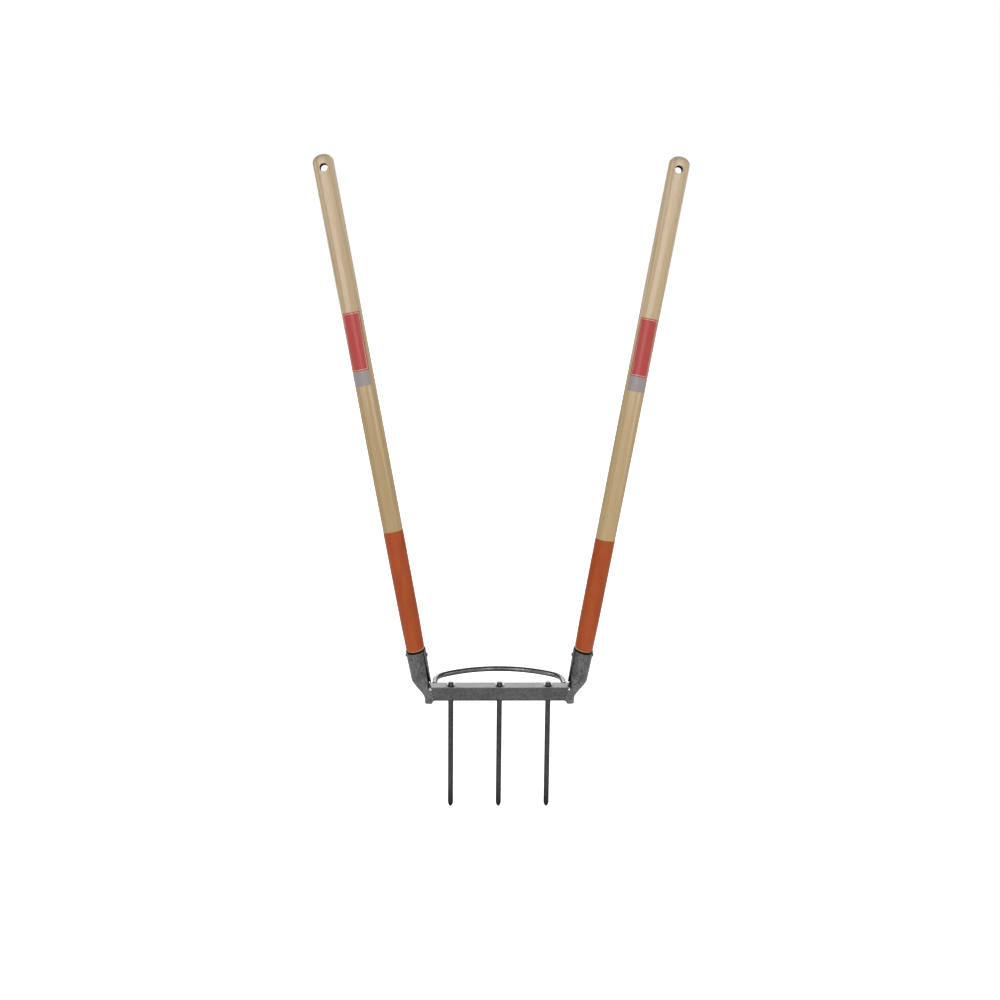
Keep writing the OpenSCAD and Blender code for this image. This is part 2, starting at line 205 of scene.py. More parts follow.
def steel(name, dull, bright, along, wear_and_light, satin, edge=1.0, scale_and_shade=None, depth=0.00006):
    """Rolled steel between two greys, whose streaks run along one axis. wear_and_light gives the share of
    bare bright metal, real wear on most pieces and a painted highlight on the rod, and scale_and_shade
    that of black, real scale at the tines' points and painted shade on the bar, the rod and the sockets,
    both from the tree and place. satin is its least roughness, edge how much of its grazing shine is
    left, as a number or from the tree and place too, and depth that of its grain."""
    material, tree, shader, place = finish(name, 1.0)
    put(shader.inputs["Specular Tint"], edge(tree, place) if callable(edge) else (edge, edge, edge, 1))
    skin = node(tree, "Group", [("node_tree", mill_scale)], Place=place)
    put(skin.inputs["ScaleAndShade"], scale_and_shade(tree, place) if scale_and_shade else 0.0)
    put(skin.inputs["Lay"], stretched(tree, place, along))
    put(skin.inputs["Dull"], (dull, dull, dull, 1))
    put(skin.inputs["Bright"], (bright, bright, bright, 1))
    put(skin.inputs["WearAndHighlight"], wear_and_light(tree, place))
    put(skin.inputs["Satin"], satin)
    put(shader.inputs["Base Color"], skin.outputs["Color"])
    put(shader.inputs["Roughness"], skin.outputs["Roughness"])
    bumped(tree, shader, skin.outputs["Height"], depth)
    return material


def bar_edges(tree, place):
    """Worn along the bar's four long edges, where both distances from its middle are large."""
    parts = parts_of(tree, place)
    out = maths(tree, "ABSOLUTE", parts["Y"])
    up = maths(tree, "ABSOLUTE", maths(tree, "SUBTRACT", parts["Z"], bar_mid * MM))
    return band(tree, maths(tree, "MINIMUM", out, up), edge_band, 0.5)


def bar_shade(tree, place):
    """Painted shade: black along the bottom edges, where shade falls under the bar, and a fainter
    darkening towards the back edge of the top.
    """
    parts = parts_of(tree, place)
    low = band(tree, parts["Z"], low_shade_band, 0.85)
    return maths(tree, "MAXIMUM", low, band(tree, parts["Y"], back_shade_band, 0.35))


bar_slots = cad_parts["crossbar"].data.materials
bar_slots.clear()
bar_slots.append(steel(
    "bar steel", dull=0.053, bright=0.112, along=(0.04, 1, 1), wear_and_light=bar_edges, satin=0.36, scale_and_shade=bar_shade,
))


# Tines. Three lengths of drawn round rod with a forged, egg-shaped point, pushed up through the bar
# until a short stub shows. They are darker than the bar, and blackest with scale at the point.
tine_d = 9.5
tine_pitch = 88.5
tine_len = 214.0
tine_point = 10.0
scale_band = (64.0 - tine_len, -11.0 - tine_len)
stub_z = bar_side + 5.5
stub_round = 0.7
cut_band = (stub_z - 0.6, stub_z - 0.2)
crisp = 0.08
merge_gap = 0.002


def wear_and_light_share(tree, place):
    """The share that the mesh's wear_and_light attribute carries: real wear on sockets, rivets and tines,
    painted highlights on the welds and the rod, and painted shade in the handles' bores.
    """
    return node(tree, "Attribute", [("attribute_name", "wear_and_light")]).outputs["Fac"]


def point_scale(tree, place):
    """Black scale that thickens from a height over the point to a little past it."""
    return band(tree, parts_of(tree, place)["Z"], scale_band, 0.9)


def stub_shine(tree, place):
    """Little grazing shine on the dark shaft, all of it on the cut end of the stub."""
    return maths(tree, "ADD", band(tree, parts_of(tree, place)["Z"], cut_band, 0.8), 0.2)


tine_steel = steel(
    "tine steel", dull=0.034, bright=0.066, along=(1, 1, 0.03), wear_and_light=wear_and_light_share, satin=0.36,
    edge=stub_shine, scale_and_shade=point_scale,
)


def skin(name, grids, material, slot, *nodes):
    """One closed mesh from grids of points. Each grid is rows by columns by 4: three places in
    millimetres and the share for the wear_and_light attribute, which is real wear on some pieces and
    painted light on others. Points that coincide are merged, so seams and poles close."""
    corners, faces, first = [], [], 0
    for grid in grids:
        rows, columns = grid.shape[:2]
        index = first + np.arange(rows * columns).reshape(rows, columns)
        around = (index[:-1, :-1], index[1:, :-1], index[1:, 1:], index[:-1, 1:])
        faces.append(np.stack(around, -1).reshape(-1, 4))
        corners.append(grid.reshape(-1, 4))
        first += rows * columns
    corners = np.concatenate(corners)
    mesh = bpy.data.meshes.new(name)
    mesh.from_pydata(corners[:, :3] * MM, [], np.concatenate(faces))
    mesh.attributes.new("wear_and_light", "FLOAT", "POINT").data.foreach_set("value", corners[:, 3])
    shell = bmesh.new()
    shell.from_mesh(mesh)
    bmesh.ops.remove_doubles(shell, verts=shell.verts, dist=merge_gap * MM)
    bmesh.ops.recalc_face_normals(shell, faces=shell.faces)
    shell.to_mesh(mesh)
    shell.free()
    mesh.polygons.foreach_set("use_smooth", np.ones(len(mesh.polygons), bool))
    mesh.materials.append(material)
    piece = bpy.data.objects.new(name, mesh)
    bpy.context.scene.collection.objects.link(piece)
    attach(piece, "root")
    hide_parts(*nodes)


def grid_of(x, y, z, wear_and_light=0.0):
    """Stacks arrays of places, and the share for the wear_and_light attribute, to one grid."""
    return np.stack(np.broadcast_arrays(x, y, z, wear_and_light), -1).astype(float)


def turned_tine(middle):
    """One profile turned about the tine's axis: an egg-shaped point, a straight shaft and a stub with a
    flat end. Close pairs of rings keep the end's rim crisp."""
    point = np.linspace(0, np.pi / 2, 20)
    radius = tine_d / 2
    flat = radius - stub_round
    out = np.concatenate([
        radius * np.sin(point),
        [radius, radius, radius, flat + crisp, flat - crisp, flat - 3 * crisp, 0],
    ])
    rim = stub_z - stub_round
    up = np.concatenate([
        -tine_len + tine_point * (1 - np.cos(point)),
        [0, rim - 3 * crisp, rim, stub_z - crisp, stub_z, stub_z, stub_z],
    ])
    turn = np.linspace(0, 2 * np.pi, 49)[None, :]
    return grid_of(middle + out[:, None] * np.cos(turn), out[:, None] * np.sin(turn), up[:, None])


for side, name in zip((-1, 0, 1), ("tine_left", "tine_centre", "tine_right")):
    skin(name + ".turned", [turned_tine(side * tine_pitch)], tine_steel, "tine_steel", name)


# Tine welds. A ring of weld round each tine, above and below the bar, laid as overlapping drops,
# so that it is rippled like stacked coins. The crests are bright and the hollows dark with scale.
# Glints on both sides of each ring and a lighter streak at its front are painted highlights.
tine_bead_w = 1.8
tine_bead_h = 3.6
tine_bead_tail = 2.8
tine_bead_drops = 22
bead_sunk = 0.6
weld_scale = (0.06, 0.06, 0.06, 1)
weld_crest = (0.6, 0.595, 0.58, 1)
weld_glint = (0.93, 0.92, 0.9, 1)


def ripple(count, turn, across):
    """Crests of a weld: count drops in a full turn, each a crescent that lags behind at its flanks."""
    wave = 0.5 + 0.5 * np.sin(count * turn + 1.4 * np.cos(2 * across))
    return wave ** 0.7


def ring_bead(inner, width, height, count, phase, tail=0.0):
    """Section and crests of a ring of weld, for every turn and every step across the bead.
    Across, the section is a quarter ellipse from the plate to the round piece, swollen by the
    ripples and by two slow waves, and drawn out to a tail on two opposite sides; its last steps run
    back inside the metal to close it."""
    turn = np.linspace(0, 2 * np.pi, 181)[:, None]
    across = np.linspace(0, np.pi / 2, 13)[None, :]
    crest = ripple(count, turn + phase, across)
    slow = 1 + 0.07 * np.sin(2 * turn + 3 * phase) + 0.04 * np.sin(3 * turn + phase)
    swell = slow * (0.92 + 0.16 * crest)
    reach = inner + (width + tail * np.cos(turn) ** 4) * np.cos(across) * swell
    up = height * np.sin(across) * swell
    hidden = np.ones_like(turn)
    core = hidden * (inner - bead_sunk)
    reach = np.hstack([reach, core, core, reach[:, :1], reach[:, :1]])
    up = np.hstack([up, up[:, -1:], -bead_sunk * hidden, -bead_sunk * hidden, up[:, :1]])
    crest = np.hstack([crest, np.zeros((len(turn), 4))])
    return turn, reach, up, crest


def weld_metal():
    """Weld: dark scale in the hollows and bright metal on the crests, from the mesh's share, which also
    carries painted highlights; where that share is highest, a pale glint, a painted highlight.
    """
    material, tree, shader, place = finish("weld metal", 0.85)
    crest = wear_and_light_share(tree, place)
    speckle = noise(tree, place, 900.0, 4.0)
    lit = rise(tree, maths(tree, "MULTIPLY", crest, maths(tree, "ADD", speckle, 0.5)), 0.35, 0.95)
    ground = blend(tree, lit, weld_scale, weld_crest)
    # painted highlight: the pale glint where the share is highest
    painted_highlight = rise(tree, crest, 0.8, 0.95)
    put(shader.inputs["Base Color"], blend(tree, painted_highlight, ground, weld_glint))
    put(shader.inputs["Metallic"], maths(tree, "MULTIPLY_ADD", lit, -0.5, 0.85))
    put(shader.inputs["Roughness"], maths(tree, "MULTIPLY_ADD", lit, -0.22, 0.52))
    bumped(tree, shader, speckle, 0.00012)
    return material


weld = weld_metal()
for side, name in zip((-1, 0, 1), ("tine_weld_left", "tine_weld_centre", "tine_weld_right")):
    rings = []
    for plate, away, tail in ((bar_side, 1, tine_bead_tail), (0, -1, 0)):
        turn, reach, up, crest = ring_bead(
            tine_d / 2, tine_bead_w, tine_bead_h, tine_bead_drops, 0.9 * side + 0.4, tail,
        )
        x = side * tine_pitch + reach * np.cos(turn)
        # front and sides are painted highlights: a lighter streak at the bead's front and glints on both
        # sides
        front = 0.6 * np.exp(-((turn - 1.5 * np.pi) / 0.2) ** 2)
        sides = 0.94 * np.clip((np.abs(np.cos(turn)) - 0.7) / 0.12, 0, 1)
        lit = np.maximum(np.maximum(0.75 * crest * np.cos(turn) ** 2, sides), front)
        rings.append(grid_of(x, reach * np.sin(turn), plate + away * up, lit))
    skin(name + ".bead", rings, weld, "weld_steel", name)


# Heel rod. One round rod bent to a long bow behind the bar, with tight bends into two short legs
# that butt on the bar's back face. Smooth drawn steel, with a painted highlight along its upper front and
# painted shade underneath.
rod_r = 4.75
rod_z = bar_side - rod_r
rod_reach = 80.0
bow_r = 185.0
bend_r = 35.0
leg_lean = np.radians(4)
leg_in = 8.0
leg_band = (50.0, 68.0)
leg_highlight_share = 0.3
gutter_drop = 5.5
gutter_laps = (7.0, 10.0, 2.0)
shine_band = (66.0, 48.0)
underside_shade_band = (rod_z - 0.8, rod_z - 2.4)
# the highlight turn, spread, places and shares lay out the rod's painted highlight
highlight_turn = np.radians(158)
highlight_spread = 0.42
highlight_places = (-105, -75, -60, -45, -18, -6, 12, 26, 45, 90, 105)
highlight_shares = (0.6, 0.45, 0.9, 1.5, 1.2, 0.25, 0.25, 0.5, 1.2, 2.0, 1.0)


def grip(z):
    """Overlap of the sockets' flanks on the bar: little at its top edges, most at its bottom edges."""
    return np.interp(z, (-gutter_drop, 0, bar_side), gutter_laps)


rod_foot = np.array((bar_half - grip(rod_z) - leg_in, bar_mid))
leg_run = np.array((-np.sin(leg_lean), np.cos(leg_lean)))
leg_side = np.array((-np.cos(leg_lean), -np.sin(leg_lean)))
bow_centre = np.array((0, bar_mid + rod_reach - bow_r))
from_bow = rod_foot + bend_r * leg_side - bow_centre
on_run = from_bow @ leg_run
leg_len = np.sqrt(on_run ** 2 - from_bow @ from_bow + (bow_r - bend_r) ** 2) - on_run
bend_centre = bow_centre + from_bow + leg_len * leg_run
bow_start = np.arctan2(*(bend_centre - bow_centre)[::-1])


def arc(centre, radius, start, end, steps):
    """Points of an arc in plan, and the direction of its outer side at each."""
    turn = np.linspace(start, end, steps)
    return np.column_stack([centre + radius * np.column_stack([np.cos(turn), np.sin(turn)]), turn])


leg_share = np.linspace(0, 1, 8)[:-1, None]
leg = np.hstack([rod_foot + leg_share * leg_len * leg_run, np.full_like(leg_share, leg_lean)])
half_rod = np.vstack([
    leg,
    arc(bend_centre, bend_r, leg_lean, bow_start, 20),
    arc(bow_centre, bow_r, bow_start, np.pi / 2, 70)[1:],
])
mirrored = half_rod[-2::-1] * (-1, 1, -1) + (0, 0, np.pi)
line = np.vstack([half_rod, mirrored])


def bent_rod():
    """A circle swept along the rod's line in plan: at each place it lies across the line, and at both
    feet it slides along the leg, so that the rod ends on the bar's flat back. A painted highlight lies
    along the upper front of the bow, in two long stretches, with a lighter share all round the legs."""
    outward = np.column_stack([np.cos(line[:, 2]), np.sin(line[:, 2])])[:, None, :]
    turn = np.linspace(0, 2 * np.pi, 33)[None, :]
    spread = rod_r * np.cos(turn)
    slide = np.zeros((len(line), 1))
    slide[[0, -1]] = -np.tan(line[[0, -1], 2])[:, None]
    plan = line[:, None, :2] + spread[..., None] * outward
    plan = plan + (slide * spread)[..., None] * np.stack([-outward[..., 1], outward[..., 0]], -1)
    front_line = np.exp(-((turn - highlight_turn) / highlight_spread) ** 2)
    along_bow = np.interp(line[:, 0], highlight_places, highlight_shares)[:, None]
    on_leg = np.interp(line[:, 1], leg_band, (1.0, 0.0))[:, None]
    painted_highlight = front_line * along_bow * (1 - on_leg) + leg_highlight_share * on_leg
    rod = grid_of(plan[..., 0], plan[..., 1], rod_z + rod_r * np.sin(turn), painted_highlight)
    ends = rod[[0, -1]].mean(axis=1, keepdims=True).repeat(rod.shape[1], axis=1)
    return np.concatenate([ends[:1], rod, ends[1:]])


def rod_shine(tree, place):
    """Little grazing shine on the bow, all of it on the legs."""
    return maths(tree, "ADD", band(tree, parts_of(tree, place)["Y"], shine_band, 0.7), 0.15)


def underside_shade(tree, place):
    """Painted shade: black along the underside."""
    return band(tree, parts_of(tree, place)["Z"], underside_shade_band, 0.85)


rod_steel = steel(
    "rod steel", dull=0.05, bright=0.08, along=(0.05, 1, 1), wear_and_light=wear_and_light_share, satin=0.34,
    edge=rod_shine, scale_and_shade=underside_shade, depth=0.00002,
)
skin("fulcrum_rod.bent", [bent_rod()], rod_steel, "rod_steel", "fulcrum_rod")


# Rod welds. A ring of weld round each foot of the rod, where it butts on the bar's back face, laid in
# fewer drops than the tines' rings and painted bright, with painted highlights on their crests.
rod_bead_w = 1.3
rod_bead_len = 3.5
rod_bead_drops = 15
for side, name in zip((-1, 1), ("rod_weld_left", "rod_weld_right")):
    turn, reach, along, crest = ring_bead(rod_r, rod_bead_w, rod_bead_len, rod_bead_drops, 0.6 + side)
    # along runs up the leg; across the leg's lean the ring slides on to the bar's flat back
    out = reach * np.cos(turn)
    along = along - out * np.tan(leg_lean)
    x = rod_foot[0] + out * np.cos(leg_lean) + along * leg_run[0]
    y = rod_foot[1] + out * np.sin(leg_lean) + along * leg_run[1]
    z = rod_z + reach * np.sin(turn)
    # painted highlight: the whole bead bright, glinting white on its crests
    skin(name + ".bead", [grid_of(side * x, y, z, 0.65 + 0.25 * crest)], weld, "weld_steel", name)


# Sockets. Each is one piece of steel sheet, rolled to a cone round the handle with an open seam on its
# inner side, and pressed flat towards its foot to a gutter that grips the end of the bar.
sheet = 1.5
lip_round = 0.5
seat = 0.3
lacquer = 0.3
lean = np.radians(11.6)
splay = np.radians(10.9)
mouth_rise = 78.5
foot_out = 8.0
foot = np.array((bar_half + foot_out, 0, bar_mid))
upright = np.cos(lean) * np.cos(splay)
round_z = bar_side + 14.0
vee_z = bar_side + 2.2
mouth_z = bar_mid + mouth_rise * upright
swell_start = 3.0 - gutter_drop
gutter_corner = 4.2
gutter_half = bar_mid + seat + sheet
mouth_d = 32.8
end_d = 30.6
end_t = (round_z - bar_mid + (end_d / 2 + lacquer) * np.sqrt(1 - upright ** 2)) / upright + lacquer
taper = (mouth_d - end_d) / 2 / (mouth_rise - end_t)
mouth_dip = 3.0
seam_turn = {-1: 38.0, 1: 28.0}
seam_w = 3.0
seam_half = np.degrees(seam_w / 2 / (mouth_d / 2 + lacquer + seat + sheet))
axis = np.array((np.cos(lean) * np.sin(splay), np.sin(lean), upright))
from_lip = foot + (bar_side - bar_mid) / upright * axis - (bar_half - grip(bar_side), 0, 0)
vee_back = np.degrees(np.arctan2(gutter_half - from_lip[1], from_lip[0]))
vee_open = (6.0, -22.0)
vee_share = 0.75
flank_share = 0.12
corner_share = 0.3
late_shares = (0.15, 0.8)
back_shares = (0.7, 0.95)
foot_wear, mouth_wear, lip_wear = 0.3, 0.6, 0.4
# vee shade bands: painted shade on the lip at the foot of each socket's V
vee_shade_out = (bar_half + 1.2, bar_half - 0.2)
vee_shade_foot = (bar_side - 2.5, bar_side - 0.5)
vee_shade_top = (bar_side + 15.0, bar_side + 9.0)


def mix(first, second, share):
    """A value between two others."""
    return first * (1 - share) + second * share


def ease(value, low, high):
    """0 below low, 1 above high, with a soft step between them."""
    share = np.clip((value - low) / (high - low), 0, 1)
    return share * share * (3 - 2 * share)


def on_right(x, y, t):
    """Places in the right handle's frame, whose third axis is the handle's, in the fork's frame."""
    back = y * np.cos(lean) + t * np.sin(lean)
    up = t * np.cos(lean) - y * np.sin(lean)
    return (
        foot[0] + x * np.cos(splay) + up * np.sin(splay),
        foot[1] + back,
        foot[2] + up * np.cos(splay) - x * np.sin(splay),
    )


def gutter_at(z, q, inset):
    """The gutter's section at a height: straight flanks, round corners and a flat outer wall, as x and y
    for each share q of the way from the front lip to the back lip."""
    share = np.minimum(q, 1 - q)
    half = gutter_half - inset
    radius = gutter_corner + sheet - inset
    bend = np.pi / 2 * np.clip((share - flank_share) / (corner_share - flank_share), 0, 1)
    flat = (half - radius) * np.clip((0.5 - share) / (0.5 - corner_share), 0, 1)
    on_flank = share < flank_share
    x = np.where(on_flank, grip(z) * (share / flank_share - 1), radius * np.sin(bend))
    y = np.where(share > corner_share, flat, half - radius + radius * np.cos(bend))
    return bar_half + x, np.where(q < 0.5, -1, 1) * np.where(on_flank, half, y)


def cone_at(z, turn, inset):
    """The cone's section at a height: a circle about the handle's axis, sheared to lie level."""
    t = (z - bar_mid) / upright
    radius = end_d / 2 + (t - end_t) * taper + lacquer + seat + sheet - inset
    radius = radius / (1 - taper * np.sin(turn) * np.tan(lean))
    out, back = radius * np.cos(turn), radius * np.sin(turn)
    return on_right(out, back, t + back * np.tan(lean))


def socket_at(z, q, inset, seam):
    """The sheet at a height z, a share q of the way round, inset from its outer side: a blend from the
    gutter to the cone, which starts lower in the middle of the sheet than at its lips. The lips close
    from a long V to the seam, which is turned to the front by the angle seam."""
    front = 180 + seam + mix(vee_open[0], seam_half, ease(z, bar_side, mouth_z))
    behind = seam + mix(vee_open[1], -seam_half, ease(z, bar_side, mix(bar_side, mouth_z, vee_share)))
    back = 540 + mix(-vee_back, behind, ease(z, bar_side, vee_z))
    late = ease(np.abs(2 * q - 1), *late_shares)
    done = mix(round_z, vee_z, ease(q, *back_shares))
    swell = ease(z, mix(swell_start, bar_side + seat, late), done)
    gutter_x, gutter_y = gutter_at(z, q, inset)
    cone = cone_at(z, np.radians(mix(front, back, q)), inset)
    return np.stack([
        mix(gutter_x, cone[0], swell),
        mix(gutter_y, cone[1], swell),
        mix(z + 0 * q, cone[2], swell),
    ], -1)


def rolled_sheet(seam):
    """The socket as one grid: at each height a closed loop, out along the sheet, round one lip, back
    along its inner side and round the other lip. At foot and mouth the loop closes to a round edge.
    Towards the mouth the heights lean, so that its rim dips at the front."""
    edge = np.linspace(0, np.pi / 2, 6)
    low = -gutter_drop + lip_round * (1 - np.cos(edge))
    high = mouth_z - lip_round * (1 - np.cos(edge))
    body = np.concatenate([
        np.linspace(low[-1], bar_side, 36)[1:],
        np.linspace(bar_side, vee_z, 20)[1:],
        np.linspace(vee_z, round_z, 16)[1:],
        np.linspace(round_z, high[-1], 16)[1:-1],
    ])
    level = np.concatenate([low, body, high[::-1]])[:, None]
    pinch = np.concatenate([1 - np.sin(edge), 0 * body, 1 - np.sin(edge[::-1])])[:, None] * sheet / 2
    trim = 0.006
    q = np.linspace(trim, 1 - trim, 121)[None, :]

    def at(q, inset):
        turn = np.radians(180 + seam + mix(seam_half, 360 - seam_half, q))
        share = np.clip((level - vee_z) / (mouth_z - vee_z), 0, 1)
        return socket_at(level + share * mouth_dip * np.sin(turn), q, inset, seam)

    outer = at(q, pinch)
    inner = at(q[:, ::-1], sheet - pinch)
    round_lip = np.linspace(0, np.pi, 9)[1:-1][None, :, None]

    def lip(start, end, tip_q, base_q):
        middle = (start + end)[:, None] / 2
        half = (start - end)[:, None] / 2
        reach = at(np.array([[tip_q]]), sheet / 2) - at(np.array([[base_q]]), sheet / 2)
        return middle + half * np.cos(round_lip) + reach * np.sin(round_lip)

    back_lip = lip(outer[:, -1], inner[:, 0], 1.0, 1 - trim)
    front_lip = lip(inner[:, -1], outer[:, 0], 0.0, trim)
    loop = np.concatenate([outer, back_lip, inner, front_lip, outer[:, :1]], axis=1)
    wear_and_light = np.zeros(loop.shape[:2] + (1,))
    wear_and_light[:4], wear_and_light[-5:] = foot_wear, mouth_wear
    first, steps = outer.shape[1], back_lip.shape[1]
    wear_and_light[:, first:first + steps] = lip_wear
    wear_and_light[:, -1 - steps:-1] = lip_wear
    return np.concatenate([loop, wear_and_light], -1)


def vee_shade(tree, place):
    """Painted shade: black on the lip at the foot of the V, standing for the shadow in the gap between
    lip and bar.
    """
    parts = parts_of(tree, place)
    beside = band(tree, maths(tree, "ABSOLUTE", parts["X"]), vee_shade_out, 0.9)
    high = maths(tree, "MULTIPLY", band(tree, parts["Z"], vee_shade_foot), band(tree, parts["Z"], vee_shade_top))
    return maths(tree, "MULTIPLY", high, beside)


socket_steel = steel(
    "socket steel", dull=0.06, bright=0.17, along=(1, 1, 0.06), wear_and_light=wear_and_light_share, satin=0.42,
    edge=0.9, scale_and_shade=vee_shade,
)
for side, name in ((-1, "socket_left"), (1, "socket_right")):
    rolled = rolled_sheet(seam_turn[side]) * (side, 1, 1, 1)
    skin(name + ".rolled", [rolled], socket_steel, "socket_steel", name)


# Socket welds. A bead down each flank of the gutter, where its lip lies on the bar, and a heavier
# fillet across the bar's underside, between the flanks that hang below it.
flank_beads = {-1: 3.0, 1: 1.4}
flank_len = bar_side - 2.0
flank_drops = 5
underside_bead = 2.0
underside_drops = 11
bead_lap = 0.4
bead_bulge = 0.4
bead_root = (0.6, 0.4)
glint_band = (18.5, 22.5)


def straight_bead(length, count, phase):
    """Steps along and across a straight bead, its swell and its crests. The ends taper off round."""
    along = np.linspace(-1, 1, 81)[:, None]
    across = np.linspace(0, np.pi / 2, 13)[None, :]
    crest = ripple(count, np.pi * along + phase, across)
    ends = np.sqrt(np.clip(1 - along ** 8, 0, 1))
    swell = ends * (0.9 + 0.2 * crest + 0.06 * np.sin(5 * along + phase))
    return along * length / 2, across, swell, crest


def closed_bead(x, y, z, crest, inside):
    """Closes a straight bead through a line inside the metal."""
    skin_side = grid_of(x, y, z, crest)
    corner = skin_side[:, :1].copy()
    corner[..., :3] = grid_of(*inside)[..., :3]
    return np.concatenate([skin_side, corner, skin_side[:, :1]], axis=1)


def socket_welds(side):
    """Three beads: down each flank a quarter ellipse between the lip and the bar, with a painted glint
    towards its top, and under the bar a straight fillet that bulges a little."""
    beads = []
    root_in, root_deep = bead_root
    for face in (-1, 1):
        up, across, swell, crest = straight_bead(flank_len, flank_drops, 0.7 * face + side)
        z = bar_mid + up + 0 * across
        lip = bar_half - grip(z)
        x = lip + bead_lap - (flank_beads[face] + bead_lap) * np.sin(across) * swell
        y = face * (bar_mid + (sheet + seat) * np.cos(across) * swell)
        inside = (side * (lip[:, :1] + root_in), face * (bar_mid - root_deep), z[:, :1])
        # painted highlight: a glint on each flank bead towards its top
        crest = np.maximum(0.6 * crest, 0.95 * ease(z, *glint_band))
        beads.append(closed_bead(side * x, y, z, crest, inside))
    run, across, swell, crest = straight_bead(2 * gutter_half, underside_drops, 0.3 + side)
    diagonal = across / (np.pi / 2)
    bulge = bead_bulge * np.sin(2 * across) * swell
    z = -underside_bead * (1 - diagonal) * swell - bulge
    x = bar_half - grip(z) + bead_lap - (underside_bead + bead_lap) * diagonal * swell - bulge * 0.4
    y = run + 0 * across
    inside = (side * (bar_half - grip(0) + root_in), y[:, :1], root_deep)
    beads.append(closed_bead(side * x, y, z, crest, inside))
    return beads


for side, name in ((-1, "socket_weld_left"), (1, "socket_weld_right")):
    skin(name + ".beads", socket_welds(side), weld, "weld_steel", name)


# Handles. Turned ash: a tapered end for the socket, a slim neck that swells to a long straight grip, a
# round crown, and a hanging hole bored from front to back with softened edges.
handle_r = 18.75
neck_r = 17.45
neck_rise = 56.0
straight_rise = 420.0
handle_len = 950.0
top_t = end_t + handle_len
crown_h = 14.0
crown_t = top_t - crown_h
hole_r = 7.0
hole_drop = 25.0
hole_t = top_t - hole_drop
hole_edge = 0.8
hole_window = 9.5
hole_turn = {-1: np.radians(2), 1: np.radians(5)}
wood_places = (end_t, mouth_rise, mouth_rise + neck_rise, mouth_rise + straight_rise, crown_t)
wood_radii = (end_d / 2, mouth_d / 2, neck_r, handle_r, handle_r)
# the dark ring over the socket's rim: painted shade of the gap between rim and wood, darkened further as
# scorch
scorch_shade = 2.1
scorch_shade_tilt = 0.07
scorch_shade_soft = 0.3
end_grain_in = 2.0
warm_band = (750.0, 300.0)
pith = (0.045, 0.03, 0)
wander_reach = (0.012, 0.012, 0)
rings_a_metre = 330.0
pale_ash = (0.715, 0.59, 0.438, 1)
# the left handle's tan is darker than the right's: painted shade on the left handle
tan_ash_and_shade = {-1: (0.48, 0.34, 0.175, 1), 1: (0.53, 0.385, 0.205, 1)}
pore_tone = (0.2, 0.12, 0.06, 1)
# the crown's tone: darker end grain, partly its own colour and partly painted shade on the top-lit crown
end_grain_and_shade_tone = (0.36, 0.3, 0.225, 1)
# bore_shade_tone: painted shade, nearly black, down the hanging hole's bore
bore_shade_tone = (0.005, 0.003, 0.002, 1)
scorch_shade_tone = (0.014, 0.008, 0.005, 1)


def wood_r(t):
    """The wood's radius along the handle."""
    return np.interp(t, wood_places, wood_radii)


def turned_handle(aside):
    """The right handle as grids. The hole, turned aside by an angle, takes a square window out of the
    front and the back of the cylinder; one grid runs from the front window in to the hole's edge, over
    its rounding, down the bore and out again at the back."""
    half, steps = hole_window, 12
    window = np.linspace(-half, half, steps + 1)
    window_turn = np.arcsin(window / handle_r)
    side_turn = np.linspace(window_turn[-1], np.pi - window_turn[-1], 30)
    right_turn = side_turn - np.pi / 2
    left_turn = side_turn + np.pi / 2
    all_turn = np.concatenate([
        window_turn - np.pi / 2, right_turn[1:], (window_turn + np.pi / 2)[1:], left_turn[1:],
    ])

    def in_fork(x, y, t):
        return on_right(
            x * np.cos(aside) + y * np.sin(aside),
            y * np.cos(aside) - x * np.sin(aside),
            t,
        )

    def turned(t, radius, turn):
        return in_fork(radius * np.cos(turn), radius * np.sin(turn), t + 0 * turn)

    low = np.concatenate([
        np.linspace(end_t, mouth_rise, 12)[:-1],
        np.linspace(mouth_rise, mouth_rise + neck_rise, 14)[:-1],
        np.linspace(mouth_rise + neck_rise, hole_t - half, 60),
    ])
    crown = np.linspace(0, np.pi / 2, 24)
    top = np.concatenate([[hole_t + half], crown_t + crown_h * np.sin(crown)])
    top_r = np.concatenate([[handle_r], handle_r * np.cos(crown)])
    low_r = np.concatenate([[0], wood_r(low)])
    low = np.concatenate([[end_t], low])
    beside = hole_t + window
    grids = [
        grid_of(*turned(low[:, None], low_r[:, None], all_turn[None, :])),
        grid_of(*turned(top[:, None], top_r[:, None], all_turn[None, :])),
        grid_of(*turned(beside[:, None], handle_r, right_turn[None, :])),
        grid_of(*turned(beside[:, None], handle_r, left_turn[None, :])),
    ]
    ones = np.ones(steps)
    square_x = np.concatenate([half * ones, window[:0:-1], -half * ones, window[:-1], [half]])
    square_t = np.concatenate([window[:-1], half * ones, window[:0:-1], -half * ones, [-half]])
    turn = np.arctan2(square_t, square_x)
    share = np.linspace(1, 0, 7)[:, None]
    rim = hole_r + hole_edge
    x_out = mix(rim * np.cos(turn), square_x, share)
    t_out = mix(rim * np.sin(turn), square_t, share)
    roll = np.linspace(0, np.pi / 2, 6)[1:, None]
    roll_r = rim - hole_edge * np.sin(roll)
    x = np.concatenate([x_out, roll_r * np.cos(turn)])
    t = np.concatenate([t_out, roll_r * np.sin(turn)])
    drop = np.concatenate([0 * share, hole_edge * (1 - np.cos(roll))])
    depth = np.sqrt(handle_r ** 2 - x ** 2) - drop
    through = np.linspace(-1, 1, 10)[1:-1, None]
    x_all = np.concatenate([x, np.repeat(x[-1:], len(through), 0), x[::-1]])
    t_all = np.concatenate([t, np.repeat(t[-1:], len(through), 0), t[::-1]])
    y_all = np.concatenate([-depth, through * depth[-1:], depth[::-1]])
    bored = np.hypot(x_all, t_all) < rim - 0.5 * hole_edge
    grids.append(grid_of(*in_fork(x_all, y_all, hole_t + t_all), bored))
    return grids


